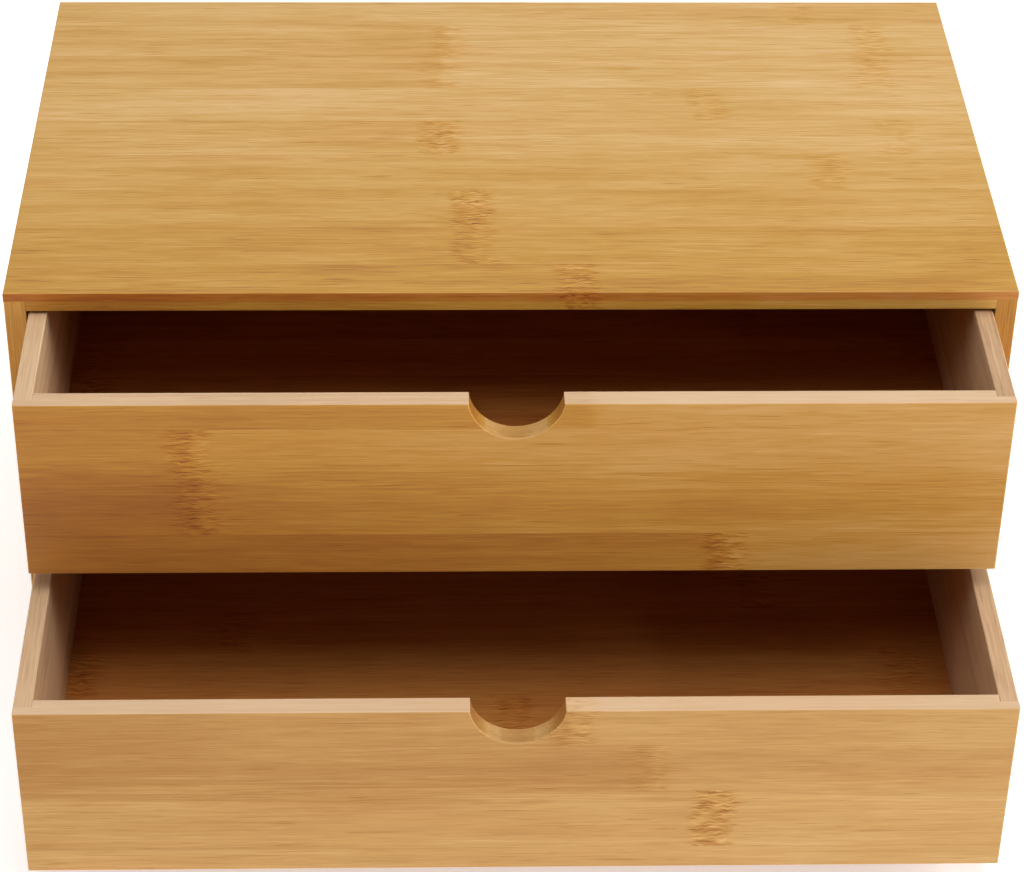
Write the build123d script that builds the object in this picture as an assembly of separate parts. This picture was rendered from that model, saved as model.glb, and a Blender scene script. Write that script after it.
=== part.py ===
"""A bamboo desk organizer: a glued case of flat boards with two pull-out drawers, one above the other.

The frame is in millimetres. X runs to the right, Y from the drawer fronts to the back, and Z up.
The origin is on the desk, under the middle of the organizer's footprint with its drawers drawn out.
Every board is a separate solid. Boards meet in rabbets, housings and grooves, face to face.
"""
from build123d import *
import os

# ---- the case ----
CASE_WIDTH = 330.0
CASE_DEPTH = 198.0
BOARD = 7.0               # thickness of the case boards and of the drawer fronts
BACK_BOARD = 5.0          # thickness of the case's back board
LIP = 3.2                 # what a rabbet leaves of a case board's thickness
BAY_HEIGHT = 68.5         # clear height of the space that holds a drawer
HOUSING_DEPTH = 3.0       # how far a shelf or a drawer floor reaches into its neighbour

# ---- the drawers ----
DRAWER_HEIGHT = 67.0
DRAWER_LENGTH = 190.0     # from the outside of the front to the outside of the back
DRAWER_SIDE = 6.0         # thickness of the drawer's sides and back
DRAWER_FLOOR = 4.0        # thickness of the drawer's floor
FLOOR_RISE = 7.0          # underside of the floor above the drawer's lower edge
FRONT_LIP = 3.4           # what the end rabbet leaves of a drawer front's thickness
SIDE_GAP = 0.7            # running gap between a drawer and the case, each side
UNDER_GAP = 0.4           # running gap between a drawer and the board that it slides on
UPPER_PULL = 51.0         # how far the upper drawer is drawn out
LOWER_PULL = 110.0        # how far the lower drawer is drawn out

# ---- the finger notch in each drawer front ----
NOTCH_RADIUS = 15.1
NOTCH_CENTRE_RISE = 1.8   # centre of the notch's arc above the drawer's upper edge

# ---- the pads under the case ----
PAD_THICKNESS = 1.6
PAD_RADIUS = 6.0
PAD_INSET = 14.0          # centre of a pad from the case's outer faces

EDGE_RADIUS = 0.5         # the softened edges of the boards and the pads
TOUCH = 0.01              # places closer than this count as the same place

# ---- places worked out from the sizes above ----
CASE_FRONT = (LOWER_PULL - CASE_DEPTH) / 2
CASE_BACK = CASE_FRONT + CASE_DEPTH
HALF_WIDTH = CASE_WIDTH / 2
CASE_BOTTOM = PAD_THICKNESS
SHELF_BOTTOM = CASE_BOTTOM + BOARD + BAY_HEIGHT
SHELF_TOP = SHELF_BOTTOM + BOARD
CASE_TOP = SHELF_TOP + BAY_HEIGHT + BOARD
HALF_DRAWER = HALF_WIDTH - BOARD - SIDE_GAP


def slab(x, y, z):
    """A flat board between two places along each axis."""
    size = [high - low for low, high in (x, y, z)]
    middle = [(high + low) / 2 for low, high in (x, y, z)]
    return Pos(*middle) * Box(*size)


def mirrored(side, near, far):
    """The span from near to far on the right (side 1), or its mirror image on the left (side -1)."""
    return (near, far) if side > 0 else (-far, -near)


def edges_at(solid, axis, place):
    """The solid's edges that lie wholly at one place along an axis."""
    return solid.edges().filter_by_position(axis, place - TOUCH, place + TOUCH)


def write(solid, name):
    export_step(solid, f"parts/{name}.step")


# ---- the case ----
def back_board():
    return slab(
        (LIP - HALF_WIDTH, HALF_WIDTH - LIP),
        (CASE_BACK - BACK_BOARD, CASE_BACK),
        (CASE_BOTTOM + LIP, CASE_TOP - LIP),
    )


def side_block(side):
    """The room that a side board takes, before its housings are cut."""
    return slab(
        mirrored(side, HALF_WIDTH - BOARD, HALF_WIDTH),
        (CASE_FRONT, CASE_BACK),
        (CASE_BOTTOM + LIP, CASE_TOP - LIP),
    )


def flat_board(bottom):
    """The top or bottom board, rabbeted for the sides and the back."""
    block = slab((-HALF_WIDTH, HALF_WIDTH), (CASE_FRONT, CASE_BACK), (bottom, bottom + BOARD))
    return block - side_block(-1) - side_block(1) - back_board()


def top_panel():
    board = flat_board(CASE_TOP - BOARD)
    rim = edges_at(board, Axis.Z, CASE_TOP)
    under_front = edges_at(board, Axis.Z, CASE_TOP - BOARD).sort_by(Axis.Y)[0]
    return fillet(rim + [under_front], EDGE_RADIUS)


def bottom_panel():
    board = flat_board(CASE_BOTTOM)
    rim = edges_at(board, Axis.Z, CASE_BOTTOM)
    over_front = edges_at(board, Axis.Z, CASE_BOTTOM + BOARD).sort_by(Axis.Y)[0]
    return fillet(rim + [over_front], EDGE_RADIUS)


def shelf_block():
    """The room that the shelf takes, before its front edges are softened."""
    reach = HALF_WIDTH - BOARD + HOUSING_DEPTH
    return slab((-reach, reach), (CASE_FRONT, CASE_BACK - BACK_BOARD), (SHELF_BOTTOM, SHELF_TOP))


def middle_shelf():
    front_edges = edges_at(shelf_block(), Axis.Y, CASE_FRONT)
    return fillet(front_edges.filter_by(Axis.X), EDGE_RADIUS)


def side_panel(side):
    upright_edges = side_block(side).edges().filter_by(Axis.Z)
    board = fillet(upright_edges, EDGE_RADIUS)
    return board - back_board() - shelf_block()


def foot_pad(x, y):
    pad = Pos(x, y, PAD_THICKNESS / 2) * Cylinder(PAD_RADIUS, PAD_THICKNESS)
    return fillet(edges_at(pad, Axis.Z, 0), EDGE_RADIUS)


def write_case():
    write(top_panel(), "top_panel")
    write(bottom_panel(), "bottom_panel")
    write(side_panel(-1), "left_side_panel")
    write(side_panel(1), "right_side_panel")
    write(middle_shelf(), "middle_shelf")
    write(back_board(), "back_panel")
    for side, side_name in ((-1, "left"), (1, "right")):
        x = side * (HALF_WIDTH - PAD_INSET)
        write(foot_pad(x, CASE_FRONT + PAD_INSET), f"foot_pad_front_{side_name}")
        write(foot_pad(x, CASE_BACK - PAD_INSET), f"foot_pad_back_{side_name}")


# ---- a drawer ----
def drawer_floor(front, bottom):
    reach = HALF_DRAWER - DRAWER_SIDE + HOUSING_DEPTH
    back = front + DRAWER_LENGTH - DRAWER_SIDE + HOUSING_DEPTH
    low = bottom + FLOOR_RISE
    return slab((-reach, reach), (front + BOARD - HOUSING_DEPTH, back), (low, low + DRAWER_FLOOR))


def drawer_back_block(front, bottom):
    reach = HALF_DRAWER - DRAWER_SIDE + HOUSING_DEPTH
    back = front + DRAWER_LENGTH
    return slab((-reach, reach), (back - DRAWER_SIDE, back), (bottom, bottom + DRAWER_HEIGHT))


def drawer_back(front, bottom):
    block = drawer_back_block(front, bottom)
    upper_edges = edges_at(block, Axis.Z, bottom + DRAWER_HEIGHT).filter_by(Axis.X)
    return fillet(upper_edges, EDGE_RADIUS) - drawer_floor(front, bottom)


def drawer_side_block(side, front, bottom):
    """The room that a drawer's side takes, before its grooves are cut."""
    return slab(
        mirrored(side, HALF_DRAWER - DRAWER_SIDE, HALF_DRAWER),
        (front + FRONT_LIP, front + DRAWER_LENGTH),
        (bottom, bottom + DRAWER_HEIGHT),
    )


def drawer_side(side, front, bottom):
    long_edges = drawer_side_block(side, front, bottom).edges().filter_by(Axis.Y)
    board = fillet(long_edges, EDGE_RADIUS)
    return board - drawer_floor(front, bottom) - drawer_back_block(front, bottom)


def drawer_front(front, bottom):
    """The front board, rabbeted at its ends for the sides, grooved for the floor, with its notch."""
    top = bottom + DRAWER_HEIGHT
    board = slab((-HALF_DRAWER, HALF_DRAWER), (front, front + BOARD), (bottom, top))
    notch = Pos(0, front, top + NOTCH_CENTRE_RISE) * Rot(X=90) * Cylinder(NOTCH_RADIUS, 3 * BOARD)
    board -= notch
    board -= drawer_side_block(-1, front, bottom)
    board -= drawer_side_block(1, front, bottom)
    outline = edges_at(board, Axis.Y, front)
    inner_rim = edges_at(board, Axis.Y, front + BOARD).filter_by(Axis.Z, reverse=True).sort_by(Axis.Z)[1:]
    return fillet(outline + inner_rim, EDGE_RADIUS) - drawer_floor(front, bottom)


def write_drawer(name, pull, bay_bottom):
    front = CASE_FRONT - pull
    bottom = bay_bottom + UNDER_GAP
    write(drawer_front(front, bottom), f"{name}_front")
    write(drawer_side(-1, front, bottom), f"{name}_left_side")
    write(drawer_side(1, front, bottom), f"{name}_right_side")
    write(drawer_back(front, bottom), f"{name}_back")
    write(drawer_floor(front, bottom), f"{name}_floor")


os.makedirs("parts", exist_ok=True)
write_case()
write_drawer("upper_drawer", UPPER_PULL, SHELF_TOP)
write_drawer("lower_drawer", LOWER_PULL, CASE_BOTTOM + BOARD)
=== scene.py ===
import math
import random

import bmesh
import bpy
from mathutils import Euler, Matrix, Vector


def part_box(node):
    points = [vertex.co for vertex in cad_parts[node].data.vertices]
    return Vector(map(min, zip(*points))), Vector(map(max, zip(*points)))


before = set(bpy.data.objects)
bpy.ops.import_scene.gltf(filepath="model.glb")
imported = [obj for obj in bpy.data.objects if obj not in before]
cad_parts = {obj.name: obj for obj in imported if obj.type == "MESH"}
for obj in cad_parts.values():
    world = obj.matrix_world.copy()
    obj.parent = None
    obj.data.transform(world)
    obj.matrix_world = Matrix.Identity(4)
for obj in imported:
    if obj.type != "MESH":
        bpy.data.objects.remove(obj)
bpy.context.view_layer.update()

# The looks of a bamboo desk organizer: a case of glued boards with two drawers.
# Lengths are in metres, except in the grain of the boards, which is laid out in millimetres.
MM = 0.001
X, Y, Z = 0, 1, 2


def srgb(red, green, blue):
    """A colour given as 0 to 255 screen values, as the linear colour that a shader needs."""
    def linear(value):
        share = value / 255
        return share / 12.92 if share <= 0.04045 else ((share + 0.055) / 1.055) ** 2.4
    return linear(red), linear(green), linear(blue), 1.0


# ---------------------------------------------------------------- shader graphs

class Graph:
    """Short calls that add nodes to one material and link them."""

    def __init__(self, name):
        self.material = bpy.data.materials.new(name)
        self.material.use_nodes = True
        self.tree = self.material.node_tree
        self.shader = self.tree.nodes["Principled BSDF"]

    def node(self, kind, **settings):
        made = self.tree.nodes.new(kind)
        for key, value in settings.items():
            setattr(made, key, value)
        return made

    def feed(self, socket, value):
        if isinstance(value, bpy.types.NodeSocket):
            self.tree.links.new(value, socket)
        else:
            socket.default_value = value

    def math(self, operation, first, second=0.0):
        made = self.node("ShaderNodeMath", operation=operation)
        for socket, value in zip(made.inputs, (first, second)):
            self.feed(socket, value)
        return made.outputs[0]

    def add(self, *terms):
        total = terms[0]
        for term in terms[1:]:
            total = self.math("ADD", total, term)
        return total

    def times(self, first, second):
        return self.math("MULTIPLY", first, second)

    def highest(self, *terms):
        top = terms[0]
        for term in terms[1:]:
            top = self.math("MAXIMUM", top, term)
        return top

    def fade(self, value, start, end):
        """0 where value is at start, 1 where it is at end, smooth between."""
        made = self.node("ShaderNodeMapRange", interpolation_type="SMOOTHSTEP")
        for socket, given in zip(made.inputs, (value, start, end, 0.0, 1.0)):
            self.feed(socket, given)
        return made.outputs["Result"]

    def vector(self, x, y, z):
        made = self.node("ShaderNodeCombineXYZ")
        for socket, value in zip(made.inputs, (x, y, z)):
            self.feed(socket, value)
        return made.outputs[0]

    def split(self, vector):
        made = self.node("ShaderNodeSeparateXYZ")
        self.feed(made.inputs[0], vector)
        return made.outputs

    def noise(self, vector, detail=2.0, roughness=0.5):
        """Noise around 0.5 whose features are about one unit of the vector across."""
        made = self.node("ShaderNodeTexNoise")
        self.feed(made.inputs["Vector"], vector)
        made.inputs["Scale"].default_value = 1.0
        made.inputs["Detail"].default_value = detail
        made.inputs["Roughness"].default_value = roughness
        return made.outputs["Fac"]

    def grain(self, place, scale, detail, roughness):
        """Noise read at a place, with a scale of its own along each of the place's three parts."""
        scaled = [self.times(part, share) for part, share in zip(place, scale)]
        return self.noise(self.vector(*scaled), detail, roughness)

    def ramp(self, value, stops, interpolation="LINEAR"):
        """A colour ramp through (place, colour) stops. Returns its colour and its alpha."""
        made = self.node("ShaderNodeValToRGB")
        self.feed(made.inputs[0], value)
        chart = made.color_ramp
        chart.interpolation = interpolation
        while len(chart.elements) < len(stops):
            chart.elements.new(1.0)
        for element, (place, colour) in zip(chart.elements, stops):
            element.position = place
            element.color = colour
        return made.outputs["Color"], made.outputs["Alpha"]

    def parts(self, colour):
        made = self.node("ShaderNodeSeparateColor")
        self.feed(made.inputs[0], colour)
        return made.outputs

    def mix(self, share, first, second, blend="MIX"):
        made = self.node("ShaderNodeMix", data_type="RGBA", blend_type=blend)
        self.feed(made.inputs["Factor"], share)
        self.feed(made.inputs["A"], first)
        self.feed(made.inputs["B"], second)
        return made.outputs["Result"]

    def bump(self, height, strength, depth):
        """Relief of a depth in metres, on the graph's own shader."""
        made = self.node("ShaderNodeBump")
        made.inputs["Strength"].default_value = strength
        made.inputs["Distance"].default_value = depth
        self.feed(made.inputs["Height"], height)
        self.feed(self.shader.inputs["Normal"], made.outputs[0])


# ---------------------------------------------------------------- bamboo

# Palettes run from 0, a dark fibre, to 1, the palest strip. They are lacquered bamboo, the same with
# more gold in it and with less, bare bamboo, and the drawers' floors: partly a redder bamboo, partly
# painted reddish bounce light of their shaded insides.
# painted sheen: LACQUERED, GOLDEN, MELLOW and BARE each carry a small pale lift that paints in the half of
# the lacquer's sheen that the shader leaves out
LACQUERED = (
    (0.00, srgb(90, 50, 26)),
    (0.25, srgb(137, 79, 32)),
    (0.45, srgb(165, 106, 40)),
    (0.62, srgb(187, 134, 55)),
    (0.78, srgb(203, 155, 92)),
    (1.00, srgb(220, 184, 134)),
)
GOLDEN = (
    (0.00, srgb(90, 50, 28)),
    (0.25, srgb(137, 80, 32)),
    (0.45, srgb(168, 110, 40)),
    (0.62, srgb(190, 140, 52)),
    (0.78, srgb(204, 159, 87)),
    (1.00, srgb(220, 184, 132)),
)
MELLOW = (
    (0.00, srgb(90, 50, 26)),
    (0.25, srgb(136, 80, 38)),
    (0.45, srgb(163, 108, 50)),
    (0.62, srgb(181, 133, 73)),
    (0.78, srgb(202, 157, 95)),
    (1.00, srgb(220, 184, 134)),
)
BARE = (
    (0.00, srgb(124, 88, 62)),
    (0.35, srgb(177, 137, 100)),
    (0.65, srgb(213, 178, 139)),
    (1.00, srgb(231, 203, 170)),
)
# partly a redder bamboo, partly painted reddish light bounced round inside the shaded drawers
DRAWER_FLOOR_RED_AND_BOUNCE = (
    (0.00, srgb(87, 44, 27)),
    (0.25, srgb(139, 71, 35)),
    (0.50, srgb(178, 107, 49)),
    (0.75, srgb(206, 141, 72)),
    (1.00, srgb(223, 168, 109)),
)
ROSY = srgb(255, 218, 205)
KNUCKLE_TINT = srgb(252, 236, 180)
UPPER_EDGE_TINT = srgb(246, 212, 208)

# Kinds of grain: features per millimetre along, across and through the board, detail and roughness.
BANDS = (0.006, 0.22, 1.0), 2.0, 0.5
STREAKS = (0.022, 0.85, 0.9), 3.0, 0.6
FIBRES = (0.07, 2.1, 2.0), 2.0, 0.6
HAIRS = (0.045, 1.7, 1.6), 2.0, 0.6
CLOUDS = (0.017, 0.06, 0.02), 2.0, 0.5
DASHES = (0.16, 1.6, 1.3), 1.0, 0.6
RIPPLE = (0.40, 0.36, 1.0), 1.0, 0.5
FLUSH = (0.012, 0.09, 1.0), 1.0, 0.5
FRAY = (0.02, 0.9, 1.0), 2.0, 0.5
CUT_FIBRES = (0.1, 2.2, 2.2), 1.0, 0.5
WANDER = (0.09, 0.05, 1.0), 2.0, 0.5   # this one is read across and through the board only

# How far they swing the place on the palette.
SWINGS = {"bands": 0.23, "streaks": 0.21, "fibres": 0.40, "clouds": 0.23}
HAIR_DARKENING = 0.22
TRAIL_DARKENING = 0.12
KNUCKLE_SWING = 1.2
SEAM_DARKENING = 0.05
# painted highlight: the softened edges of a board are painted paler, for the bright line that they catch
EASED_HIGHLIGHT = 0.10   # the softened edges of a board look a little paler

STRIP_WIDTH = 23.0
LAYER_SPREAD = 900.0      # keeps the grain of one strip unlike its neighbour's
SEAM_FADE = (0.22, 0.06)  # from clear of a glue line to on it
RIM_FADE = (1.5, 0.5)     # the same for the corner of a long edge
KNUCKLE_SPACING = 290.0
KNUCKLE_WANDER = 12.0     # how far a knuckle's line wanders along the strip
KNUCKLE_FADE = (9.375, 3.75)   # from clear of a knuckle to well inside it
KNUCKLE_BEND = 2.4        # how far its fibres swing sideways
TRAIL_FADE = (27.0, 3.0)  # the same for the dark fibres that run on past it
TONE_CHANGE = (-2.0, 3.0)   # from a strip's first tone, before its first knuckle, to its second
FACING = (0.6, 0.95)      # from a face that looks another way to one that looks along the axis
EASED = (0.995, 0.9)      # from a flat face to a softened edge


def strip(width, tone, tone_after=None, knuckles=(), painted_light_drift=0.0):
    """One bamboo strip of a board. Its tone may change at its first knuckle, and grow paler along it as
    painted light.

    Each knuckle is (place along the strip in millimetres, strength)."""
    return {
        "width": width,
        "tones": (tone, tone if tone_after is None else tone_after),
        "painted_light_drift": painted_light_drift,
        "knuckles": (list(knuckles) + [(0.0, 0.0), (0.0, 0.0)])[:2],
    }


def ordinary_strips(length, width, tone, seed):
    """Strips for a board that has no special ones: even widths, mixed tones, a knuckle in each."""
    chance = random.Random(seed)
    count = max(1, round(width / STRIP_WIDTH))
    made = []
    for _ in range(count):
        before = tone + chance.uniform(-0.08, 0.08)
        after = before + chance.uniform(-0.05, 0.05)
        place = chance.uniform(0.0, KNUCKLE_SPACING)
        knuckles = []
        while place < length and len(knuckles) < 2:
            knuckles.append((place, chance.uniform(0.4, 0.9)))
            place += KNUCKLE_SPACING * chance.uniform(0.9, 1.1)
        made.append(strip(width / count, before, after, knuckles))
    return made


class Board:
    """Where a shaded point lies on its board, in millimetres, and which face it lies on."""

    def __init__(self, graph, node, grain, across):
        through = 3 - grain - across
        low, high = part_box(node)
        size = [(high[i] - low[i]) / MM for i in range(3)]
        self.length, self.width, self.thickness = size[grain], size[across], size[through]

        coordinates = graph.node("ShaderNodeTexCoord")
        point = graph.split(coordinates.outputs["Object"])
        place = [graph.math("DIVIDE", graph.math("SUBTRACT", point[i], low[i]), MM) for i in range(3)]
        self.along, self.side, self.deep = place[grain], place[across], place[through]
        self.progress = graph.times(self.along, 1.0 / self.length)

        normal = graph.split(coordinates.outputs["Normal"])
        turned = [graph.math("ABSOLUTE", normal[i]) for i in range(3)]
        self.end_face = graph.fade(turned[grain], *FACING)
        self.edge_face = graph.fade(turned[across], *FACING)
        self.eased = graph.fade(graph.highest(*turned), *EASED)


def strip_charts(graph, board, strips, ragged, seed):
    """What the strip under a point is like, read from stepped ramps.

    Returns its tones before and after its first knuckle, its painted light drift and its shift, all from 0
    to 1, and its two knuckles. ragged is how far, in millimetres, the tones of strips run into each other."""
    chance = random.Random(seed)
    looks = []
    knots = []
    edge = 0.0
    for one in strips:
        (place, strength), (place_2, strength_2) = one["knuckles"]
        start = edge / board.width
        looks.append((start, (*one["tones"], chance.random(), 0.5 + one["painted_light_drift"])))
        knots.append((start, (place / board.length, strength, place_2 / board.length, strength_2)))
        edge += one["width"]

    tones = []
    for offset in (-0.3 * ragged, 0.3 * ragged):
        fray = graph.grain((board.along, board.side, offset), *FRAY)
        frayed = graph.add(board.side, graph.times(graph.add(fray, -0.5), 2.0 * ragged), offset)
        tone, painted_light_drift = graph.ramp(graph.times(frayed, 1.0 / board.width), looks, "CONSTANT")
        tones.append((*graph.parts(tone)[:2], painted_light_drift))
    before, after, painted_light_drift = [graph.times(graph.add(*pair), 0.5) for pair in zip(*tones)]

    share = graph.times(board.side, 1.0 / board.width)
    look, _ = graph.ramp(share, looks, "CONSTANT")
    shift = graph.parts(look)[2]
    knot, last = graph.ramp(share, knots, "CONSTANT")
    place, strength, place_2 = graph.parts(knot)[:3]
    return before, after, painted_light_drift, shift, ((place, strength), (place_2, last))


def knuckle_marks(graph, board, knots, layer):
    """1 on a knuckle, 1 on the dark fibres that run on past it, and 1 past the strip's first knuckle."""
    wander = graph.grain((board.side, layer, 3.0), *WANDER)
    offsets = []
    marks = []
    trails = []
    for share, strength in knots:
        swung = graph.times(wander, KNUCKLE_WANDER)
        middle = graph.add(graph.times(share, board.length), swung, -KNUCKLE_WANDER / 2)
        off = graph.math("SUBTRACT", board.along, middle)
        distance = graph.math("ABSOLUTE", off)
        offsets.append(off)
        marks.append(graph.times(graph.fade(distance, *KNUCKLE_FADE), strength))
        trails.append(graph.times(graph.fade(distance, *TRAIL_FADE), strength))
    past_first = graph.fade(offsets[0], *TONE_CHANGE)
    return graph.highest(*marks), graph.highest(*trails), past_first


def seam_lines(graph, board, strips):
    """1 on the glue lines between strips, 0 elsewhere."""
    lines = []
    edge = 0.0
    for one in strips[:-1]:
        edge += one["width"]
        off = graph.math("ABSOLUTE", graph.math("SUBTRACT", board.side, edge))
        lines.append(graph.fade(off, *SEAM_FADE))
    return graph.highest(0.0, *lines)


def grain_noises(graph, board, layer, knuckle):
    """Every kind of grain, from broad bands to fine lines, bent into waves at the knuckles."""
    ripple = graph.grain((board.along, board.side, layer), *RIPPLE)
    bend = graph.times(graph.add(ripple, -0.5), graph.times(knuckle, KNUCKLE_BEND))
    bent = (board.along, graph.add(board.side, bend), layer)
    return {
        "bands": graph.grain(bent, *BANDS),
        "streaks": graph.grain(bent, *STREAKS),
        "fibres": graph.grain(bent, *FIBRES),
        "clouds": graph.grain((board.along, board.side, layer), *CLOUDS),
        "hairs": graph.grain(bent, *HAIRS),
        "dashes": graph.grain(bent, *DASHES),
    }


def grain_level(graph, level, noises, knuckle, trails, contrast):
    """The place on the palette, once the grain has swung it."""
    for kind, swing in SWINGS.items():
        level = graph.add(level, graph.times(graph.add(noises[kind], -0.5), swing * contrast))
    hairs = graph.fade(noises["hairs"], 0.38, 0.27)
    level = graph.add(level, graph.times(hairs, -HAIR_DARKENING * contrast))
    dark_dashes = graph.fade(noises["dashes"], 0.42, 0.26)
    level = graph.add(level, graph.times(graph.times(dark_dashes, trails), -TRAIL_DARKENING))
    waves = graph.times(graph.add(noises["dashes"], -0.54), KNUCKLE_SWING)
    return graph.add(level, graph.times(knuckle, waves))


def edge_level(graph, board, level, tones, edge_shades):
    """The same on the board's long edges, with painted shade and light graded from their low end to their
    high end, and on its ends, which show cut fibres as dots.
    """
    low_shade, high_shade = edge_shades
    # painted shade and light on the long edges, graded from the board's low end to its high end
    shade = graph.add(graph.times(board.progress, low_shade - high_shade), -low_shade)
    level = graph.add(level, graph.times(board.edge_face, shade))
    dots = graph.grain((board.along, board.side, board.deep), *CUT_FIBRES)
    end_level = graph.add(graph.times(tones, 0.55), graph.times(dots, 0.5), -0.12)
    return graph.add(level, graph.times(board.end_face, graph.math("SUBTRACT", end_level, level)))


def rim_of_edges(graph, board):
    """1 on the outer faces of the long edges, and not on a cut that only faces the same way."""
    half = board.width / 2
    off_middle = graph.math("ABSOLUTE", graph.add(board.side, -half))
    rim = graph.fade(off_middle, half - RIM_FADE[0], half - RIM_FADE[1])
    return graph.times(board.edge_face, rim)


def bamboo(node, grain, across, strips=None, tone=0.6, seed=1, bare=0.0, bare_edges=0.0,
           edge_shades=(0.0, 0.0), upper_edge_redness=0.0, ragged=1.0, contrast=1.0, palette=LACQUERED):
    """Bamboo strips glued edge to edge, for one board.

    grain is the axis that the fibres run along, across the axis that the strips lie side by side on.
    tone is the middle of the strips' tones, where no strips are given.
    bare is how unlacquered the board looks, and bare_edges how unlacquered its long edges look.
    The long edges carry painted shade: how much darker they are at their low end and at their high end,
    and painted light where a value is below 0.
    The upper half of the long edges is tinted redder and darker by the given share.
    contrast is how strongly the fibres show."""
    graph = Graph("bamboo_" + node)
    board = Board(graph, node, grain, across)
    if strips is None:
        strips = ordinary_strips(board.length, board.width, tone, seed)
    before, after, painted_light_drift, shift, knots = strip_charts(graph, board, strips, ragged, seed)
    layer = graph.add(graph.times(shift, LAYER_SPREAD), board.deep)
    knuckle, trails, past_first = knuckle_marks(graph, board, knots, layer)
    noises = grain_noises(graph, board, layer, knuckle)
    seams = seam_lines(graph, board, strips)

    tones = graph.add(before, graph.times(past_first, graph.math("SUBTRACT", after, before)))
    # painted light: a strip's drift makes it paler towards the board's high end, the right end of a drawer
    # front
    tones = graph.add(tones, graph.times(graph.add(board.progress, -0.5), graph.add(painted_light_drift, -0.5)))
    level = grain_level(graph, tones, noises, knuckle, trails, contrast)
    seam_shade = graph.times(seams, -SEAM_DARKENING)
    # painted highlight on the softened edges
    level = graph.add(level, seam_shade, graph.times(board.eased, EASED_HIGHLIGHT))
    level = edge_level(graph, board, level, tones, edge_shades)

    lacquered, _ = graph.ramp(level, palette)
    plain, _ = graph.ramp(level, BARE)
    bareness = graph.highest(bare, graph.times(rim_of_edges(graph, board), bare_edges))
    colour = graph.mix(bareness, lacquered, plain)
    flush = graph.grain((board.along, board.side, layer), *FLUSH)
    rosy = graph.times(graph.fade(flush, 0.48, 0.75), 0.14)
    colour = graph.mix(rosy, colour, ROSY, "MULTIPLY")
    colour = graph.mix(graph.times(knuckle, 0.5), colour, KNUCKLE_TINT, "MULTIPLY")
    if upper_edge_redness:
        upper = graph.fade(board.deep, board.thickness * 0.45, board.thickness * 0.6)
        redder = graph.times(graph.times(upper, board.edge_face), upper_edge_redness)
        colour = graph.mix(redder, colour, UPPER_EDGE_TINT, "MULTIPLY")
    graph.feed(graph.shader.inputs["Base Color"], colour)

    rough = graph.add(0.40, graph.times(noises["fibres"], 0.16), graph.times(knuckle, 0.06))
    rough = graph.add(rough, graph.times(bareness, 0.12))
    graph.feed(graph.shader.inputs["Roughness"], rough)
    grooves = graph.add(graph.times(noises["fibres"], 0.6), graph.times(noises["streaks"], 0.5))
    waves = graph.times(graph.times(knuckle, noises["dashes"]), 2.4)
    graph.bump(graph.add(grooves, graph.times(seams, -0.5), waves), 0.6, 0.05 * MM)
    # The shader gives only half of the lacquer's sheen; the palettes paint in the rest.
    graph.shader.inputs["Specular IOR Level"].default_value = 0.18
    graph.shader.inputs["Coat Weight"].default_value = 0.03 * (1.0 - bare)
    graph.shader.inputs["Coat Roughness"].default_value = 0.32
    return graph.material


def paint(node, material):
    """Gives a CAD node its material without touching its mesh."""
    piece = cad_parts[node]
    if not piece.material_slots:
        piece.data.materials.append(material)
    for slot in piece.material_slots:
        slot.link = "OBJECT"
        slot.material = material


# ---------------------------------------------------------------- the boards

# Strips are listed from the case's front edge to its back, or from a drawer front's lower edge up.
# The top's strips grow paler towards the back: partly their own tones, partly painted sheen of the light
# behind.
TOP_STRIPS = [
    strip(16.3, 0.62, 0.62, [(186, 0.75)]),
    strip(22.7, 0.63, 0.66, [(153, 0.6)]),
    strip(24.2, 0.68, 0.71, [(152, 0.9)]),
    strip(23.3, 0.72, 0.74, [(275, 0.5)]),
    strip(22.7, 0.74, 0.78, [(141, 0.8), (301, 0.35)]),
    strip(23.5, 0.80, 0.80, [(237, 0.45)]),
    strip(23.5, 0.73, 0.82, [(142, 0.35), (299, 0.4)]),
    strip(22.6, 0.73, 0.81, [(145, 0.4), (301, 0.5)]),
    strip(19.2, 0.78, 0.77, [(275, 0.3)]),
]
# The drawer fronts' strips drift paler to the right: painted light from the right.
UPPER_FRONT_STRIPS = [
    strip(15.5, 0.51, 0.62, [(226, 0.7)], painted_light_drift=0.22),
    strip(21.2, 0.45, 0.54, [(57, 0.6)], painted_light_drift=0.18),
    strip(20.8, 0.57, 0.66, [(54, 0.6)], painted_light_drift=0.10),
    strip(9.0, 0.58, 0.66, [(180, 0.1)], painted_light_drift=0.10),
]
LOWER_FRONT_STRIPS = [
    strip(9.0, 0.74, 0.77, painted_light_drift=0.05),
    strip(24.0, 0.72, 0.75, [(220, 0.85)], painted_light_drift=0.05),
    strip(19.5, 0.60, 0.66, [(200, 0.3)], painted_light_drift=0.08),
    strip(14.0, 0.64, 0.67, [(176, 0.5)], painted_light_drift=0.10),
]
# painted light: the drawer fronts' upper and lower edges are painted paler towards their left end
UPPER_FRONT_LOOKS = {"strips": UPPER_FRONT_STRIPS, "palette": LACQUERED, "edge_shades": (-0.08, 0.0)}
LOWER_FRONT_LOOKS = {"strips": LOWER_FRONT_STRIPS, "palette": MELLOW, "edge_shades": (-0.22, 0.02)}


def finish_board(node, grain, across, **looks):
    paint(node, bamboo(node, grain, across, **looks))


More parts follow.
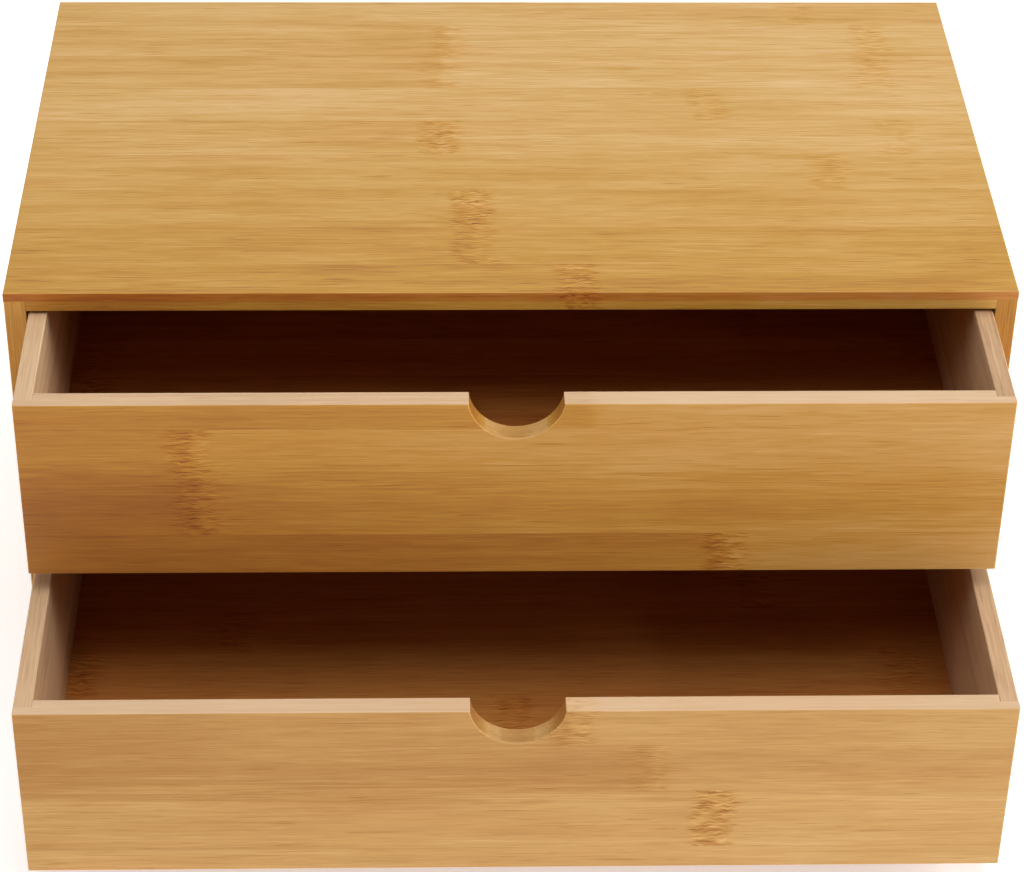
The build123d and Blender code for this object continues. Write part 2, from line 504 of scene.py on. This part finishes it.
def finish_case():
    # painted shade and light: the long edges of the top and bottom are painted darker at the left end and
    # paler at the right
    long_edge_looks = {"edge_shades": (0.14, -0.10), "upper_edge_redness": 1.0}
    finish_board("top_panel", X, Y, strips=TOP_STRIPS, seed=3, contrast=1.1, palette=GOLDEN, **long_edge_looks)
    finish_board("bottom_panel", X, Y, tone=0.66, seed=4, **long_edge_looks)
    finish_board("middle_shelf", X, Y, tone=0.62, seed=5)
    finish_board("back_panel", X, Z, tone=0.66, seed=6)
    # painted shade and light: the right side's long edges are painted darker, the left side's a little
    # paler
    finish_board("left_side_panel", Z, Y, tone=0.64, seed=7, edge_shades=(-0.03, -0.03))
    finish_board("right_side_panel", Z, Y, tone=0.66, seed=8, edge_shades=(0.12, 0.12))


def finish_drawer(name, front_looks, seed):
    """A lacquered front with a bare upper edge, a floor that is partly a redder bamboo and partly painted
    reddish bounce light, and bare sides and back.
    """
    finish_board(
        f"{name}_front", X, Z, seed=seed, bare_edges=1.0, ragged=12.0, contrast=0.7, **front_looks
    )
    finish_board(f"{name}_floor", X, Y, tone=0.6, seed=seed + 1, palette=DRAWER_FLOOR_RED_AND_BOUNCE)
    # painted shade and light: the left side is a darker tone than the right, with paler top edges, and the
    # right side's top edges are painted darker
    finish_board(f"{name}_left_side", Y, Z, tone=0.5, seed=seed + 2, bare=1.0, edge_shades=(-0.09, -0.09))
    finish_board(f"{name}_right_side", Y, Z, tone=0.58, seed=seed + 3, bare=1.0, edge_shades=(0.06, 0.06))
    finish_board(f"{name}_back", X, Z, tone=0.6, seed=seed + 4, bare=1.0)


RUBBER_GRAIN = 3000.0     # bumps per metre


def rubber():
    """Dull dark rubber with a fine moulded grain."""
    graph = Graph("pad_rubber")
    coordinates = graph.node("ShaderNodeTexCoord").outputs["Object"]
    scaled = graph.node("ShaderNodeVectorMath", operation="SCALE")
    graph.feed(scaled.inputs[0], coordinates)
    scaled.inputs["Scale"].default_value = RUBBER_GRAIN
    grain = graph.noise(scaled.outputs[0], 3.0)
    colour, _ = graph.ramp(grain, ((0.3, srgb(34, 33, 32)), (0.7, srgb(58, 56, 54))))
    graph.feed(graph.shader.inputs["Base Color"], colour)
    graph.bump(grain, 0.4, 0.05 * MM)
    graph.shader.inputs["Roughness"].default_value = 0.8
    return graph.material


def finish_pads():
    material = rubber()
    for end in ("front", "back"):
        for side in ("left", "right"):
            paint(f"foot_pad_{end}_{side}", material)


# ---------------------------------------------------------------- the studio

FLOOR_SIZE = 60.0
FLOOR_GLOW = 0.46         # beside the organizer
FAR_GLOW = 1.0
GLOW_FADE = (0.8, 2.4)    # distances between which the floor's glow grows
BACKDROP_RADIUS = 28.0
LIGHTS_AIM = Vector((0.0, 0.0, 0.08))
CAMERA_OFFSET = Vector((-0.0286, -0.8328, 0.5510))   # from the middle of the top's front edge
CAMERA_PITCH = 36.145     # degrees below level
CAMERA_YAW = 1.994        # degrees towards +X
CAMERA_ROLL = 0.971
CAMERA_LENS = 108.19
SENSOR_WIDTH = 36.0


def floor():
    """A pale floor that glows a little, more so further off, as a lit studio sweep does."""
    mesh = bpy.data.meshes.new("studio_floor")
    half = FLOOR_SIZE / 2
    corners = [(-half, -half, 0), (half, -half, 0), (half, half, 0), (-half, half, 0)]
    mesh.from_pydata(corners, [], [(0, 1, 2, 3)])
    piece = bpy.data.objects.new("studio_floor", mesh)
    bpy.context.scene.collection.objects.link(piece)
    graph = Graph("studio_floor")
    coordinates = graph.node("ShaderNodeTexCoord").outputs["Object"]
    cloud = graph.noise(coordinates, 2.0)
    colour, _ = graph.ramp(cloud, ((0.0, srgb(238, 238, 238)), (1.0, srgb(244, 244, 244))))
    distance = graph.node("ShaderNodeVectorMath", operation="LENGTH")
    graph.feed(distance.inputs[0], coordinates)
    further = graph.fade(distance.outputs["Value"], *GLOW_FADE)
    glow = graph.add(FLOOR_GLOW, graph.times(further, FAR_GLOW - FLOOR_GLOW))
    graph.feed(graph.shader.inputs["Base Color"], colour)
    graph.feed(graph.shader.inputs["Emission Strength"], glow)
    graph.shader.inputs["Emission Color"].default_value = (1.0, 1.0, 1.0, 1.0)
    graph.shader.inputs["Roughness"].default_value = 0.9
    graph.shader.inputs["Specular IOR Level"].default_value = 0.1
    mesh.materials.append(graph.material)


def backdrop():
    """A white dome round the floor, which lights nothing."""
    mesh = bpy.data.meshes.new("studio_backdrop")
    shape = bmesh.new()
    bmesh.ops.create_uvsphere(shape, u_segments=48, v_segments=24, radius=BACKDROP_RADIUS)
    shape.to_mesh(mesh)
    shape.free()
    piece = bpy.data.objects.new("studio_backdrop", mesh)
    bpy.context.scene.collection.objects.link(piece)
    graph = Graph("studio_backdrop")
    graph.shader.inputs["Base Color"].default_value = (0.0, 0.0, 0.0, 1.0)
    graph.shader.inputs["Emission Color"].default_value = (1.0, 1.0, 1.0, 1.0)
    graph.shader.inputs["Emission Strength"].default_value = 1.0
    mesh.materials.append(graph.material)
    piece.visible_diffuse = False
    piece.visible_glossy = False
    piece.visible_shadow = False


def softbox(name, place, width, height, power):
    light = bpy.data.lights.new(name, "AREA")
    light.shape = "RECTANGLE"
    light.size = width
    light.size_y = height
    light.energy = power
    lamp = bpy.data.objects.new(name, light)
    lamp.location = place
    aim = LIGHTS_AIM - Vector(place)
    lamp.rotation_euler = aim.to_track_quat("-Z", "Y").to_euler()
    bpy.context.scene.collection.objects.link(lamp)


def lights():
    """Big soft lights above, behind and in front, a strong one on the right and a weak one on the left."""
    world = bpy.data.worlds.new("studio")
    bpy.context.scene.world = world
    world.use_nodes = True
    background = world.node_tree.nodes["Background"]
    background.inputs["Color"].default_value = (1.0, 0.99, 0.97, 1.0)
    background.inputs["Strength"].default_value = 0.04
    softbox("overhead", (0.1, 0.2, 1.8), 1.8, 1.4, 13.6)
    softbox("over_front", (0.2, -0.7, 1.7), 1.6, 0.8, 12.0)
    softbox("behind", (0.0, 1.7, 0.8), 2.0, 0.8, 10.8)
    softbox("low_front", (0.0, -1.9, 0.2), 1.6, 0.3, 10.0)
    softbox("right", (2.0, 0.1, 0.7), 1.2, 0.8, 31.0)
    softbox("left", (-2.0, 0.1, 0.7), 1.2, 0.8, 11.0)


def camera():
    """A long lens that looks down on the drawers from the front."""
    low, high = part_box("top_panel")
    front_edge = Vector(((low.x + high.x) / 2, low.y, high.z))
    data = bpy.data.cameras.new("camera")
    data.sensor_fit = "HORIZONTAL"
    data.sensor_width = SENSOR_WIDTH
    data.lens = CAMERA_LENS
    data.clip_start = 0.05
    data.clip_end = 2 * BACKDROP_RADIUS
    piece = bpy.data.objects.new("camera", data)
    bpy.context.scene.collection.objects.link(piece)
    turn = Euler((math.radians(90.0 - CAMERA_PITCH), 0.0, math.radians(-CAMERA_YAW)))
    look = turn.to_matrix().to_4x4()
    roll = Matrix.Rotation(math.radians(CAMERA_ROLL), 4, "Z")
    piece.matrix_world = Matrix.Translation(front_edge + CAMERA_OFFSET) @ look @ roll
    bpy.context.scene.camera = piece


finish_case()
finish_drawer("upper_drawer", UPPER_FRONT_LOOKS, 20)
finish_drawer("lower_drawer", LOWER_FRONT_LOOKS, 30)
finish_pads()
floor()
backdrop()
lights()
camera()
bpy.context.scene.view_settings.view_transform = "Standard"
